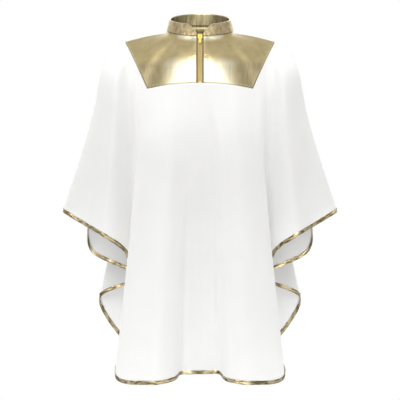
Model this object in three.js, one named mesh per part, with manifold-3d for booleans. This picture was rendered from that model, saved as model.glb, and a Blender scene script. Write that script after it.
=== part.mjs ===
// A short white chasuble with winged sleeves: a gold yoke, a stand collar, a front zip
// and a gold binding round every hem.
// Millimetres, +Z up. X is across the wearer, the front faces -Y, and the origin is the
// middle of the neck at the height of the side neck seam. Left means the wearer's left, +X.
import * as THREE from 'three';
import Module from 'manifold-3d';
import { mergeVertices } from 'three/addons/utils/BufferGeometryUtils.js';

const wasm = await Module();
wasm.setup();

// Overall drape
const GARMENT_LENGTH = 800; // side neck seam to the bottom hem
const WING_REACH = 322; // centre line to the wing tip
const DRAPE_DEPTH = 150; // how far the folds stand in front of the shoulder line

// Neck seam, a leaning oval
const NECK_HALF_WIDTH = 77;
const NECK_FRONT = 78;
const NECK_BACK = 65;
const NECK_TILT = 24; // front of the seam below, and back of it above, the sides

// Stand collar
const COLLAR_HEIGHT = 27; // at the sides
const COLLAR_SIDE_LEAN = 6.5; // how much nearer the centre the top edge is at the sides
const COLLAR_FRONT_LEAN = 14;
const COLLAR_BACK_LEAN = 3;
const COLLAR_FRONT_TILT = 24; // front of the top edge below its sides
const COLLAR_BACK_TILT = 25; // and back of it above them
const COLLAR_FRONT_HEIGHT = 0.14; // share of the height left at the rounded front corner
const COLLAR_CORNER_ANGLE = 28; // degrees round the neck that the rounded corner takes
const COLLAR_PLY = 1.5;
const COLLAR_SEAM_RISE = 2.2; // bottom edge of the collar above the yoke's neck edge

// Yoke outline
const SHOULDER_HALF_WIDTH = 176;
const SHOULDER_DROP = 26;
const YOKE_HALF_HEM = 119;
const YOKE_FRONT_DROP = 138; // at the centre front
const YOKE_HEM_CURVE = 9; // how much lower the yoke's corners are than its centre
const CHEST_FORWARD = 128;
const CHEST_ROUND = 34; // how much nearer the body the front corners are
const BACK_YOKE_HALF_HEM = 128;
const BACK_YOKE_DROP = 116;
const BACK_DEPTH = 108;
const BACK_ROUND = 10;
const YOKE_BELLY = 9; // how far the yoke stands out between the neck and its hem
const BELLY_START = 60; // from the zip to where the yoke stands out fully
const NECK_FLARE = 7; // how far the yoke sweeps in below the collar
const FLARE_SHARE = 0.12; // where on the way to the yoke's hem it sweeps in most
const FLARE_START = 10; // from the zip to where the sweep starts
const FLARE_END = 40; // and to where it is full
const CORNER_FADE = 0.16; // share of the cloth's length over which the yoke's corners soften

// Plies and seams
const CLOTH_PLY = 2;
const YOKE_PLY = 1.2;
const FACING_PLY = 1;
const SEAM_GAP = 0.4; // clear space between pieces that are sewn or clipped together
const BINDING_WIDTH = 8.5;
const BINDING_PLY = 0.8;
const BINDING_EASE = 0.6; // clear space between the cloth's faces and the binding
const BINDING_HEM_EASE = 1.5; // and between the cloth's raw edge and the binding's fold

// Zip, laid out along its own line with local +Z up the zip and local -Y outwards
const ZIP_OPENING = 8.5; // centre line to the yoke's edge beside the zip
const ZIP_ABOVE_SEAM = 6.5; // how far the zip runs up past the neck seam
const ZIP_TAIL = 6; // tape below the end of the zip
const TAPE_GAP = 0.081; // clear space between the tape's face and the cloth or collar before it
const TAPE_PLY = 0.8;
const TAPE_EDGE = 11; // outer edge from the centre line
const TEETH_SLOT = 1.6; // clear slot between the two rows
const TEETH_WIDTH = 2.5;
const TEETH_THICK = 2.4;
const TOOTH_PITCH = 3;
const TOOTH_LENGTH = 1.7;
const TOOTH_REACH = 1.2; // how far a tooth stands out of its row's spine
const STOP_LENGTH = 3;
const BOTTOM_STOP_LENGTH = 4;
const SLIDER_LENGTH = 13;
const SLIDER_HALF_WIDTH = 5;
const SLIDER_MOUTH_HALF_WIDTH = 3.6; // the narrow lower end
const SLIDER_PLATE = 1.2;
const SLIDER_RUN_GAP = 0.3;
const SLIDER_POST_WIDTH = 1;
const SLIDER_POST_LENGTH = 2.5;
const CROWN_WIDTH = 1.6;
const CROWN_HOLE = 2; // clear height under the crown
const CROWN_SPAN = 6; // clear length under the crown
const CROWN_THICK = 1.1;
const PULL_BAR = 1; // thickness of the bar that turns under the crown
const PULL_LENGTH = 17;
const PULL_RING = 6.4; // pivot to the solid part of the tab
const PULL_SIDE_GAP = 0.4;
const PULL_RIM = 1;
const PULL_TIP_HALF_WIDTH = 2.6;

// Mesh fineness
const STEPS_PER_FOLD = 2;
const YOKE_SHARES = [0, 0.12, 0.36, 0.6, 0.82];
const YOKE_ROWS = YOKE_SHARES.length;
const CLOTH_ROWS = 9;
const COLLAR_ROWS = 3;
const COLLAR_CORNER_STEPS = 5;
const COLLAR_SIDE_STEPS = 14;

const half = 0.5;
const vec = (x, y, z) => new THREE.Vector3(x, y, z);
const mix = (a, b, share) => a.clone().lerp(b, share);
const mirrored = (point) => vec(-point.x, point.y, point.z);
const radians = THREE.MathUtils.degToRad;
const { smoothstep } = THREE.MathUtils;

// ---------------------------------------------------------------- neck and yoke lines

// Angle 0 is the centre front and half a turn is the centre back.
function ovalPoint(angle, halfWidth, front, back, height, frontTilt, backTilt) {
  const middle = (back - front) * half;
  const reach = (back + front) * half;
  return vec(
    halfWidth * Math.sin(angle),
    middle - reach * Math.cos(angle),
    height - (Math.cos(angle) > 0 ? frontTilt : backTilt) * Math.cos(angle),
  );
}

const neckSeam = (angle) =>
  ovalPoint(angle, NECK_HALF_WIDTH, NECK_FRONT, NECK_BACK, 0, NECK_TILT, NECK_TILT);
const FRONT_ANGLE = Math.asin(ZIP_OPENING / NECK_HALF_WIDTH);

const shoulderPoint = vec(SHOULDER_HALF_WIDTH, 0, -SHOULDER_DROP);
const yokeCorner = vec(YOKE_HALF_HEM, CHEST_ROUND - CHEST_FORWARD, -YOKE_FRONT_DROP - YOKE_HEM_CURVE);
const backCorner = vec(
  BACK_YOKE_HALF_HEM,
  BACK_DEPTH - BACK_ROUND,
  -BACK_YOKE_DROP - YOKE_HEM_CURVE * half,
);

function frontHem(share) {
  const x = THREE.MathUtils.lerp(ZIP_OPENING, YOKE_HALF_HEM, share);
  const bend = share * share;
  return vec(x, CHEST_ROUND * bend - CHEST_FORWARD, -YOKE_FRONT_DROP - YOKE_HEM_CURVE * bend);
}

function backHem(share) {
  const bend = share * share;
  return vec(
    BACK_YOKE_HALF_HEM * share,
    BACK_DEPTH - BACK_ROUND * bend,
    -BACK_YOKE_DROP - YOKE_HEM_CURVE * half * bend,
  );
}

// The yoke's side edges bow outwards over the front and back of the shoulder.
function sideEdge(corner, bulge) {
  const control = mix(corner, shoulderPoint, half).add(bulge);
  const curve = new THREE.QuadraticBezierCurve3(corner, control, shoulderPoint);
  return (share) => curve.getPoint(share);
}

const frontSide = sideEdge(yokeCorner, vec(-6, -28, -8));
const backSide = sideEdge(backCorner, vec(0, 43, -1));

// ------------------------------------------------------------------------- fold lines

// Each fold of the white cloth runs from the yoke to the hem. Its seam is where it starts,
// and its path is a few points of [across, back, down], in hundredths of the wing reach,
// the drape depth and the garment length. neck is its angle round the neck seam in degrees.
const folds = [
  { name: 'placket', neck: 6, seam: frontHem(0),
    path: [[3, -100, 32], [3, -88, 55], [3, -50, 99]] },
  { name: 'pleat_floor', neck: 9, seam: frontHem(0.1),
    path: [[6, -100, 32], [9, -89, 55], [12.5, -53, 99]] },
  { name: 'pleat_wall', neck: 16, seam: frontHem(0.25),
    path: [[11, -101, 32], [14, -98, 55], [18.5, -92, 99.5]] },
  { name: 'front_lobe', neck: 29, seam: frontHem(0.6),
    path: [[24, -101, 32], [27, -102, 55], [34, -107, 100]] },
  { name: 'front_edge', neck: 44, seam: yokeCorner,
    path: [[40.5, -76, 32], [47, -66, 55], [60, -43, 100]] },
  { name: 'side_strip', neck: 52, seam: frontSide(0.34), steps: 3,
    path: [[44, -60, 24], [44, -46, 43], [50, -30, 91]] },
  { name: 'valley_front', neck: 60, seam: frontSide(0.58), steps: 3,
    path: [[46.5, -46, 19], [45, -36, 43], [46, -18, 82]] },
  { name: 'valley_back', neck: 65, seam: frontSide(0.67), steps: 4,
    path: [[50, -44, 18], [48.5, -36, 40], [50, -14, 73]] },
  { name: 'sleeve_inner', neck: 70, seam: frontSide(0.75),
    path: [[53.5, -46, 17], [53.5, -50, 34], [53.5, -30, 65]] },
  { name: 'sleeve_crown', neck: 76, seam: frontSide(0.83),
    path: [[58, -50, 14], [61, -62, 31], [68, -57, 60]] },
  { name: 'sleeve_dip', neck: 83, seam: frontSide(0.91),
    path: [[67, -24, 11], [73, -28, 25], [83, -22, 57]] },
  { name: 'overarm', neck: 90, seam: shoulderPoint,
    path: [[65, 0, 6], [71, 0, 11], [78, -2, 25], [99.5, -5, 53]] },
  { name: 'tuck_front', neck: 97, seam: backSide(0.92), steps: 3,
    path: [[68, 12, 9], [71, 11, 24], [58, 1, 57.5]] },
  { name: 'tuck_back', neck: 101, seam: backSide(0.86), steps: 3,
    path: [[69, 22, 11], [69, 23, 26], [57, 12, 57]] },
  { name: 'cascade_front', neck: 106, seam: backSide(0.79), steps: 3,
    path: [[69, 34, 14], [73, 32, 29], [80, 14, 57]] },
  { name: 'cascade_back', neck: 110, seam: backSide(0.71), steps: 3,
    path: [[67, 44, 16], [71, 47, 31], [81.5, 29, 64.8]] },
  { name: 'lower_front', neck: 114, seam: backSide(0.6), steps: 3,
    path: [[60, 52, 17], [57, 50, 33], [47.5, 30, 72]] },
  { name: 'lower_back', neck: 119, seam: backSide(0.48), steps: 3,
    path: [[56, 62, 18], [54, 62, 35], [46.5, 42, 74]] },
  { name: 'back_edge', neck: 125, seam: backCorner,
    path: [[48, 75, 27], [58, 75, 44], [76.5, 62, 80]] },
  { name: 'back_lobe', neck: 143, seam: backHem(0.68),
    path: [[31, 83, 33], [37, 88, 55], [43, 93, 99.5]] },
  { name: 'back_dip', neck: 161, seam: backHem(0.34),
    path: [[15, 80, 33], [18, 79, 55], [24, 74, 100]] },
  { name: 'centre_back', neck: 180, seam: backHem(0),
    path: [[0, 83, 33], [0, 88, 55], [0, 96, 99]] },
];

// Where the columns of the mesh lie, counted in folds. Tight folds get more of them.
const foldShares = folds.flatMap((fold, k) => {
  const steps = k + 1 < folds.length ? fold.steps ?? STEPS_PER_FOLD : 1;
  return Array.from({ length: steps }, (_, step) => k + step / steps);
});
const foldIndex = (name) => foldShares.indexOf(folds.findIndex((fold) => fold.name === name));

function foldCurve({ seam, path }) {
  const points = path.map(([across, back, down]) =>
    vec(across * WING_REACH, back * DRAPE_DEPTH, -down * GARMENT_LENGTH).divideScalar(100));
  return new THREE.CatmullRomCurve3([seam, ...points], false, 'centripetal');
}

// From the neck seam to the yoke's edge: it sweeps in below the collar, then bellies out.
function yokeLine({ neck, seam }) {
  const angle = Math.max(radians(neck), FRONT_ANGLE);
  const top = neckSeam(angle);
  const outwards = vec(seam.x + top.x, seam.y + top.y, SHOULDER_HALF_WIDTH).normalize();
  const fromZip = seam.y < 0 ? seam.x - ZIP_OPENING : Infinity;
  const belly = YOKE_BELLY * Math.abs(Math.cos(angle)) * smoothstep(fromZip, 0, BELLY_START);
  const flare = NECK_FLARE * smoothstep(fromZip, FLARE_START, FLARE_END);
  return (share) => {
    const swept = share / FLARE_SHARE;
    const out = belly * Math.sin(Math.PI * share) - flare * swept * Math.exp(1 - swept);
    return mix(top, seam, share).addScaledVector(outwards, out);
  };
}

// The columns from one fold to another, on a smooth curve through the folds' points and any
// points before and after them.
function crossed(points, first, last, before, after) {
  const run = [...before, ...points.slice(first, last + 1), ...after];
  const curve = new THREE.CatmullRomCurve3(run, false, 'centripetal');
  const shares = foldShares.filter((share) => share >= first && share <= last);
  return shares.map((share) => curve.getPoint((before.length + share - first) / (run.length - 1)));
}

// One row of the drape. It carries on past both ends to the other half's nearest fold, so
// both halves meet smoothly. Where the softness is 0 it breaks at the corners of the yoke.
function acrossFolds(points, softness) {
  const last = folds.length - 1;
  const before = [mirrored(points[0])];
  const after = [mirrored(points[last - 1])];
  const [front, back] = ['front_edge', 'back_edge'].map((name) =>
    folds.findIndex((fold) => fold.name === name));
  const smooth = crossed(points, 0, last, before, after);
  const crisp = [
    ...crossed(points, 0, front, before, []).slice(0, -1),
    ...crossed(points, front, back, [], []).slice(0, -1),
    ...crossed(points, back, last, [], after),
  ];
  return crisp.map((point, k) => mix(point, smooth[k], softness));
}

function drapeRows() {
  const yokeLines = folds.map(yokeLine);
  const foldCurves = folds.map(foldCurve);
  const yokeRows = YOKE_SHARES.map((share) => {
    const softness = 1 - smoothstep(share, 1 - 2 * CORNER_FADE, 1);
    return acrossFolds(yokeLines.map((line) => line(share)), softness);
  });
  const clothRows = Array.from({ length: CLOTH_ROWS }, (_, row) => {
    const share = row / CLOTH_ROWS;
    return acrossFolds(foldCurves.map((curve) => curve.getPointAt(share)), smoothstep(share, 0, CORNER_FADE));
  });
  const bindingTop = foldCurves.map((curve) => curve.getPointAt(1 - BINDING_WIDTH / curve.getLength()));
  const hem = foldCurves.map((curve) => curve.getPointAt(1));
  return [...yokeRows, ...clothRows, acrossFolds(bindingTop, 1), acrossFolds(hem, 1)];
}

// ------------------------------------------------------------------- grids and bodies

// Each grid entry is a point with its outward normal and the direction down the cloth.
function withNormals(rows) {
  const lastRow = rows.length - 1;
  const lastColumn = rows[0].length - 1;
  return rows.map((row, r) => row.map((point, c) => {
    const left = c > 0 ? row[c - 1] : mirrored(row[0]);
    const right = c < lastColumn ? row[c + 1] : mirrored(row[c - 1]);
    const down = rows[Math.min(r + 1, lastRow)][c].clone().sub(rows[Math.max(r - 1, 0)][c]).normalize();
    const leftFace = down.clone().cross(point.clone().sub(left)).normalize();
    const rightFace = down.clone().cross(right.clone().sub(point)).normalize();
    return { point, normal: leftFace.add(rightFace).normalize(), down };
  }));
}

const mirroredEntry = ({ point, normal, down }) => ({
  point: mirrored(point),
  normal: mirrored(normal),
  down: mirrored(down),
});

const mirroredGrid = (grid) => grid.map((row) => row.map(mirroredEntry).reverse());
const joinedGrid = (left, right) => left.map((row, r) => [...row, ...right[r]]);

function slice(grid, firstRow, lastRow, firstColumn, lastColumn) {
  return grid.slice(firstRow, lastRow + 1).map((row) => row.slice(firstColumn, lastColumn + 1));
}

function nudged(entry, neighbour, distance) {
  const step = neighbour.point.clone().sub(entry.point).setLength(distance);
  return { ...entry, point: entry.point.clone().add(step) };
}

// Draws the four edges of a grid in by half a seam gap, so that neighbours stay clear.
function trimmed(grid) {
  const distance = SEAM_GAP * half;
  const last = grid.length - 1;
  const narrow = grid.map((row) => row.map((entry, c) => {
    if (c === 0) return nudged(entry, row[1], distance);
    if (c === row.length - 1) return nudged(entry, row[c - 1], distance);
    return entry;
  }));
  return narrow.map((row, r) => row.map((entry, c) => {
    if (r === 0) return nudged(entry, narrow[1][c], distance);
    if (r === last) return nudged(entry, narrow[last - 1][c], distance);
    return entry;
  }));
}

function closedGeometry(points, triangles) {
  const geometry = new THREE.BufferGeometry();
  geometry.setAttribute('position', new THREE.Float32BufferAttribute(points.flatMap((p) => p.toArray()), 3));
  let volume = 0;
  for (const [a, b, c] of triangles) {
    volume += points[a].dot(points[b].clone().cross(points[c]));
  }
  const facingOut = volume > 0 ? triangles : triangles.map(([a, b, c]) => [a, c, b]);
  geometry.setIndex(facingOut.flat());
  geometry.computeVertexNormals();
  return geometry;
}

// A closed body between two layers of points in matching rows. Every cell is split from
// its higher row, as the sides are, so that layers and neighbours which lie close together
// are split alike.
function layeredBody(outer, inner) {
  const rows = outer.length;
  const columns = outer[0].length;
  const points = [...outer.flat(), ...inner.flat()];
  const under = rows * columns;
  const at = (r, c) => r * columns + c;
  const triangles = [];
  for (let r = 0; r + 1 < rows; r += 1) {
    for (let c = 0; c + 1 < columns; c += 1) {
      const ring = [at(r, c), at(r + 1, c), at(r + 1, c + 1), at(r, c + 1)];
      const falls = points[ring[0]].z > points[ring[1]].z;
      const [a, b, d, e] = falls ? ring : [...ring.slice(1), ring[0]];
      triangles.push([a, b, d], [a, d, e]);
      triangles.push([a + under, d + under, b + under], [a + under, e + under, d + under]);
    }
  }
  const edge = [
    ...Array.from({ length: columns - 1 }, (_, c) => at(0, c)),
    ...Array.from({ length: rows - 1 }, (_, r) => at(r, columns - 1)),
    ...Array.from({ length: columns - 1 }, (_, c) => at(rows - 1, columns - 1 - c)),
    ...Array.from({ length: rows - 1 }, (_, r) => at(rows - 1 - r, 0)),
  ];
  edge.forEach((a, k) => {
    const b = edge[(k + 1) % edge.length];
    const downASide = Math.abs(a - b) === columns && points[a].z > points[b].z;
    if (downASide) triangles.push([a, b, b + under], [a, b + under, a + under]);
    else triangles.push([a, b, a + under], [b, b + under, a + under]);
  });
  return closedGeometry(points, triangles);
}

const offsetRow = (row, offset) => row.map(({ point, normal }) => point.clone().addScaledVector(normal, offset));

// Moves a row of the cloth past its own edge: along the seam at both ends, and between
// them halfway between straight down and square to the edge.
function loweredRow(row, distance) {
  return row.map((entry, c) => {
    const direction = entry.down.clone();
    if (c > 0 && c < row.length - 1) {
      direction.copy(row[c + 1].point).sub(row[c - 1].point).cross(entry.normal).normalize();
      direction.multiplyScalar(Math.sign(direction.dot(entry.down))).add(entry.down).normalize();
    }
    return { ...entry, point: entry.point.clone().addScaledVector(direction, distance) };
  });
}

// A sheet of cloth between two offsets from its middle surface.
function sheetBody(grid, outer, inner) {
  const layer = (offset) => grid.map((row) => offsetRow(row, offset));
  return layeredBody(layer(outer), layer(inner));
}

// The folded strip that wraps a hem: a channel open upwards, with the cloth inside it.
// It follows the last two rows of the cloth, which are the binding's width apart.
function bindingBody(grid) {
  const inside = CLOTH_PLY * half + BINDING_EASE;
  const [top, hem] = grid.slice(-2);
  const layer = (out, drop) => {
    const lowered = loweredRow(hem, drop);
    return [offsetRow(top, out), offsetRow(lowered, out), offsetRow(lowered, -out), offsetRow(top, -out)];
  };
  return layeredBody(
    layer(inside + BINDING_PLY, BINDING_HEM_EASE + BINDING_PLY),
    layer(inside, BINDING_HEM_EASE),
  );
}

// ---------------------------------------------------------------------------- collar

function collarHeight(angle) {
  const corner = radians(COLLAR_CORNER_ANGLE);
  if (angle >= corner) return 1;
  const short = (corner - angle) / (corner - FRONT_ANGLE);
  return 1 - (1 - COLLAR_FRONT_HEIGHT) * short * short;
}

const collarTop = (angle) => ovalPoint(
  angle,
  NECK_HALF_WIDTH - COLLAR_SIDE_LEAN,
  NECK_FRONT - COLLAR_FRONT_LEAN,
  NECK_BACK - COLLAR_BACK_LEAN,
  COLLAR_HEIGHT,
  COLLAR_FRONT_TILT,
  COLLAR_BACK_TILT,
);

function collarPoint(angle, share) {
  const seam = neckSeam(angle);
  const top = collarTop(angle);
  const start = COLLAR_SEAM_RISE / seam.distanceTo(top);
  return mix(seam, top, start + (collarHeight(angle) - start) * share);
}

function collarAngles() {
  const corner = radians(COLLAR_CORNER_ANGLE);
  const angles = [];
  for (let step = 0; step < COLLAR_CORNER_STEPS; step += 1) {
    const short = Math.cos((step / COLLAR_CORNER_STEPS) * Math.PI * half);
    angles.push(corner - (corner - FRONT_ANGLE) * short);
  }
  for (let step = 0; step <= COLLAR_SIDE_STEPS; step += 1) {
    angles.push(corner + (Math.PI - corner) * (step / COLLAR_SIDE_STEPS));
  }
  return angles;
}

function collarGrid() {
  const small = 1e-3;
  const halfRows = Array.from({ length: COLLAR_ROWS + 1 }, (_, row) => collarAngles().map((angle) => {
    const share = 1 - row / COLLAR_ROWS;
    const point = collarPoint(angle, share);
    const down = neckSeam(angle).sub(collarPoint(angle, 1)).normalize();
    const ahead = neckSeam(angle + small);
    const across = ahead.sub(neckSeam(angle - small));
    const normal = down.clone().cross(across).normalize();
    return { point, normal, down };
  }));
  const otherHalf = mirroredGrid(halfRows).map((row) => row.slice(1));
  return joinedGrid(halfRows, otherHalf);
}

// -------------------------------------------------------------------------------- zip

const zipFoot = vec(0, -CHEST_FORWARD, -YOKE_FRONT_DROP);
const zipHead = neckSeam(FRONT_ANGLE);
zipHead.x = 0;
const ZIP_LEAN = Math.atan2(zipHead.y - zipFoot.y, zipHead.z - zipFoot.z);
const ZIP_LENGTH = zipHead.distanceTo(zipFoot) + ZIP_ABOVE_SEAM;

// How far a point lies behind the line of the zip.
const behindZip = (point) => point.clone().sub(zipFoot).dot(vec(0, Math.cos(ZIP_LEAN), -Math.sin(ZIP_LEAN)));

// The cloth turns in below the zip, over the tape's tail.
function tailDepth() {
  const [seam, below] = [0, 1 / CLOTH_ROWS].map((share) => foldCurve(folds[0]).getPointAt(share));
  const turned = behindZip(mix(seam, below, ZIP_TAIL / seam.distanceTo(below)));
  return turned + CLOTH_PLY * half;
}

// And the collar's lining leans in over its upper end.
function collarDepth() {
  const angle = Math.asin(TAPE_EDGE / NECK_HALF_WIDTH);
  const [seam, top] = [neckSeam(angle), collarTop(angle)];
  const leaning = behindZip(mix(seam, top, ZIP_ABOVE_SEAM / seam.distanceTo(top)));
  return leaning + SEAM_GAP * half + COLLAR_PLY;
}

const TAPE_DEPTH = Math.max(tailDepth(), collarDepth()) + TAPE_GAP;
const TAPE_MIDDLE = TAPE_DEPTH + TAPE_PLY * half;
const TEETH_INNER = TEETH_SLOT * half;
const TEETH_OUTER = TEETH_INNER + TEETH_WIDTH;
const TEETH_FRONT = TAPE_MIDDLE - TEETH_THICK * half;
const TEETH_BACK = TAPE_MIDDLE + TEETH_THICK * half;
const SLIDER_BOTTOM = ZIP_LENGTH - STOP_LENGTH - SLIDER_RUN_GAP - SLIDER_LENGTH;
const PLATE_INNER = TEETH_FRONT - SLIDER_RUN_GAP;
const PLATE_OUTER = PLATE_INNER - SLIDER_PLATE;
const PIVOT_Y = PLATE_OUTER - CROWN_HOLE * half;
const PIVOT_Z = SLIDER_BOTTOM + SLIDER_LENGTH * half;

function box(x0, x1, y0, y1, z0, z1) {
  const geometry = new THREE.BoxGeometry(x1 - x0, y1 - y0, z1 - z0);
  return geometry.translate((x0 + x1) * half, (y0 + y1) * half, (z0 + z1) * half);
}

function solid(geometry) {
  const bare = geometry.clone();
  bare.deleteAttribute('normal');
  bare.deleteAttribute('uv');
  const merged = mergeVertices(bare);
  return new wasm.Manifold(new wasm.Mesh({
    numProp: 3,
    vertProperties: new Float32Array(merged.attributes.position.array),
    triVerts: new Uint32Array(merged.index.array),
  }));
}

function geometryOf(manifold) {
  const mesh = manifold.getMesh();
  const geometry = new THREE.BufferGeometry();
  geometry.setAttribute('position', new THREE.BufferAttribute(mesh.vertProperties, 3));
  geometry.setIndex(new THREE.BufferAttribute(mesh.triVerts, 1));
  geometry.computeVertexNormals();
  return geometry;
}

function joined(geometries) {
  const [first, ...others] = geometries.map(solid);
  return geometryOf(others.reduce((whole, piece) => whole.add(piece), first));
}

function cut(geometry, hole) {
  return geometryOf(solid(geometry).subtract(solid(hole)));
}

// A flat plate drawn in the zip's own X and Z, from its front face to its back face.
function plate(outline, front, back) {
  const shape = new THREE.Shape(outline.map(([x, z]) => new THREE.Vector2(x, z)));
  const geometry = new THREE.ExtrudeGeometry(shape, { depth: back - front, bevelEnabled: false });
  return geometry.rotateX(Math.PI * half).translate(0, back, 0);
}

// One row of teeth on a common spine, as a comb.
function zipTeeth() {
  const bottom = BOTTOM_STOP_LENGTH + SEAM_GAP;
  const top = ZIP_LENGTH - STOP_LENGTH - SEAM_GAP;
  const count = Math.floor((top - bottom) / TOOTH_PITCH);
  const tip = TEETH_INNER;
  const root = TEETH_INNER + TOOTH_REACH;
  const outline = [[TEETH_OUTER, bottom]];
  for (let tooth = 0; tooth < count; tooth += 1) {
    const start = bottom + tooth * TOOTH_PITCH;
    const end = start + TOOTH_LENGTH;
    if (tooth > 0) outline.push([root, start]);
    outline.push([tip, start], [tip, end], [root, end]);
  }
  outline.push([root, top], [TEETH_OUTER, top]);
  return plate(outline, TEETH_FRONT, TEETH_BACK);
}

const zipTape = () => box(
  TEETH_OUTER + SEAM_GAP, TAPE_EDGE, TAPE_DEPTH, TAPE_DEPTH + TAPE_PLY, -ZIP_TAIL, ZIP_LENGTH,
);

const zipTopStop = () => box(
  TEETH_INNER, TEETH_OUTER, TEETH_FRONT, TEETH_BACK, ZIP_LENGTH - STOP_LENGTH, ZIP_LENGTH,
);

const zipBottomStop = () => box(
  -TEETH_OUTER, TEETH_OUTER, TEETH_FRONT, TEETH_BACK, 0, BOTTOM_STOP_LENGTH,
);

function zipSlider() {
  const top = SLIDER_BOTTOM + SLIDER_LENGTH;
  const shoulder = SLIDER_BOTTOM + SLIDER_LENGTH * half;
  const outline = [
    [-SLIDER_MOUTH_HALF_WIDTH, SLIDER_BOTTOM],
    [SLIDER_MOUTH_HALF_WIDTH, SLIDER_BOTTOM],
    [SLIDER_HALF_WIDTH, shoulder],
    [SLIDER_HALF_WIDTH, top - 1],
    [SLIDER_HALF_WIDTH - 1, top],
    [1 - SLIDER_HALF_WIDTH, top],
    [-SLIDER_HALF_WIDTH, top - 1],
    [-SLIDER_HALF_WIDTH, shoulder],
  ];
  const backInner = TEETH_BACK + SLIDER_RUN_GAP;
  const post = SLIDER_POST_WIDTH * half;
  const crown = CROWN_WIDTH * half;
  const footIn = CROWN_SPAN * half;
  const footOut = footIn + CROWN_THICK;
  const crownInner = PLATE_OUTER - CROWN_HOLE;
  return joined([
    plate(outline, PLATE_OUTER, PLATE_INNER),
    plate(outline, backInner, backInner + SLIDER_PLATE),
    box(-post, post, PLATE_OUTER + 0.4, backInner + 0.4, top - SLIDER_POST_LENGTH, top - 0.5),
    box(-crown, crown, crownInner, PLATE_OUTER + 0.4, PIVOT_Z - footOut, PIVOT_Z - footIn),
    box(-crown, crown, crownInner, PLATE_OUTER + 0.4, PIVOT_Z + footIn, PIVOT_Z + footOut),
    box(-crown, crown, crownInner - CROWN_THICK, crownInner, PIVOT_Z - footOut, PIVOT_Z + footOut),
  ]);
}

function zipPull() {
  const inner = CROWN_WIDTH * half + PULL_SIDE_GAP;
  const outer = inner + PULL_RIM;
  const bar = PULL_BAR * half;
  const ringEnd = PIVOT_Z - PULL_RING;
  const tip = PIVOT_Z - PULL_LENGTH;
  const outline = [
    [-outer, PIVOT_Z + bar],
    [-outer, ringEnd],
    [-PULL_TIP_HALF_WIDTH, tip + 1],
    [1 - PULL_TIP_HALF_WIDTH, tip],
    [PULL_TIP_HALF_WIDTH - 1, tip],
    [PULL_TIP_HALF_WIDTH, tip + 1],
    [outer, ringEnd],
    [outer, PIVOT_Z + bar],
  ];
  const slot = box(-inner, inner, PIVOT_Y - 2 * bar, PIVOT_Y + 2 * bar, ringEnd, PIVOT_Z - bar);
  return cut(plate(outline, PIVOT_Y - bar, PIVOT_Y + bar), slot);
}

// --------------------------------------------------------------------------- assembly

const whiteCloth = { color: 0xf1f1ee, roughness: 0.85, metalness: 0 };
const goldLame = { color: 0xb9a35f, roughness: 0.35, metalness: 0.8 };
const goldFoil = { color: 0xc2a04c, roughness: 0.3, metalness: 0.9 };
const tapeCloth = { color: 0x9c8246, roughness: 0.8, metalness: 0 };
const zipMetal = { color: 0xe0c04e, roughness: 0.25, metalness: 1 };

const garment = new THREE.Group();
const zip = new THREE.Group();
zip.position.copy(zipFoot);
zip.rotation.x = -ZIP_LEAN;
garment.add(zip);

function addPiece(parent, name, geometry, look) {
  const mesh = new THREE.Mesh(geometry, new THREE.MeshStandardMaterial(look));
  mesh.name = name;
  parent.add(mesh);
}

function mirroredGeometry(geometry) {
  const flipped = geometry.clone().scale(-1, 1, 1);
  const count = flipped.attributes.position.count;
  const order = flipped.index ? Array.from(flipped.index.array) : Array.from({ length: count }, (_, k) => k);
  for (let k = 0; k < order.length; k += 3) {
    [order[k], order[k + 1]] = [order[k + 1], order[k]];
  }
  flipped.setIndex(order);
  return flipped;
}

function addPair(parent, name, geometry, look) {
  addPiece(parent, `${name}_left`, geometry, look);
  addPiece(parent, `${name}_right`, mirroredGeometry(geometry), look);
}

const drape = withNormals(drapeRows());
const seamRow = YOKE_ROWS;
const hemRow = YOKE_ROWS + CLOTH_ROWS + 1;
const frontEdge = foldIndex('front_edge');
const overarm = foldIndex('overarm');
const backEdge = foldIndex('back_edge');
const centreBack = foldIndex('centre_back');

function acrossCentreFront(firstRow, lastRow) {
  const side = slice(drape, firstRow, lastRow, 0, frontEdge);
  return joinedGrid(mirroredGrid(side), side);
}

function acrossCentreBack(firstRow, lastRow, firstColumn) {
  const side = slice(drape, firstRow, lastRow, firstColumn, centreBack);
  return joinedGrid(side, mirroredGrid(side).map((row) => row.slice(1)));
}

function addCloth() {
  const ply = CLOTH_PLY * half;
  const body = (grid) => sheetBody(trimmed(grid), ply, -ply);
  const binding = (grid) => bindingBody(trimmed(grid));
  const front = acrossCentreFront(seamRow, hemRow);
  const back = acrossCentreBack(seamRow, hemRow, backEdge);
  const wingFront = slice(drape, seamRow, hemRow, frontEdge, overarm);
  const wingBack = slice(drape, seamRow, hemRow, overarm, backEdge);
  addPiece(garment, 'front_panel', body(front), whiteCloth);
  addPiece(garment, 'back_panel', body(back), whiteCloth);
  addPair(garment, 'wing_front', body(wingFront), whiteCloth);
  addPair(garment, 'wing_back', body(wingBack), whiteCloth);
  addPiece(garment, 'front_hem_binding', binding(front), goldFoil);
  addPiece(garment, 'back_hem_binding', binding(back), goldFoil);
  addPair(garment, 'wing_front_binding', binding(wingFront), goldFoil);
  addPair(garment, 'wing_back_binding', binding(wingBack), goldFoil);
}

function addYoke() {
  const ply = YOKE_PLY * half;
  const front = slice(drape, 0, seamRow, 0, overarm);
  const back = acrossCentreBack(0, seamRow, overarm);
  addPair(garment, 'yoke_front', sheetBody(trimmed(front), ply, -ply), goldLame);
  addPiece(garment, 'yoke_back', sheetBody(trimmed(back), ply, -ply), goldLame);
  const facing = acrossCentreBack(0, 2, foldIndex('back_edge'));
  const facingTop = -ply - SEAM_GAP;
  addPiece(garment, 'back_neck_facing', sheetBody(facing, facingTop, facingTop - FACING_PLY), goldLame);
}

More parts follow.
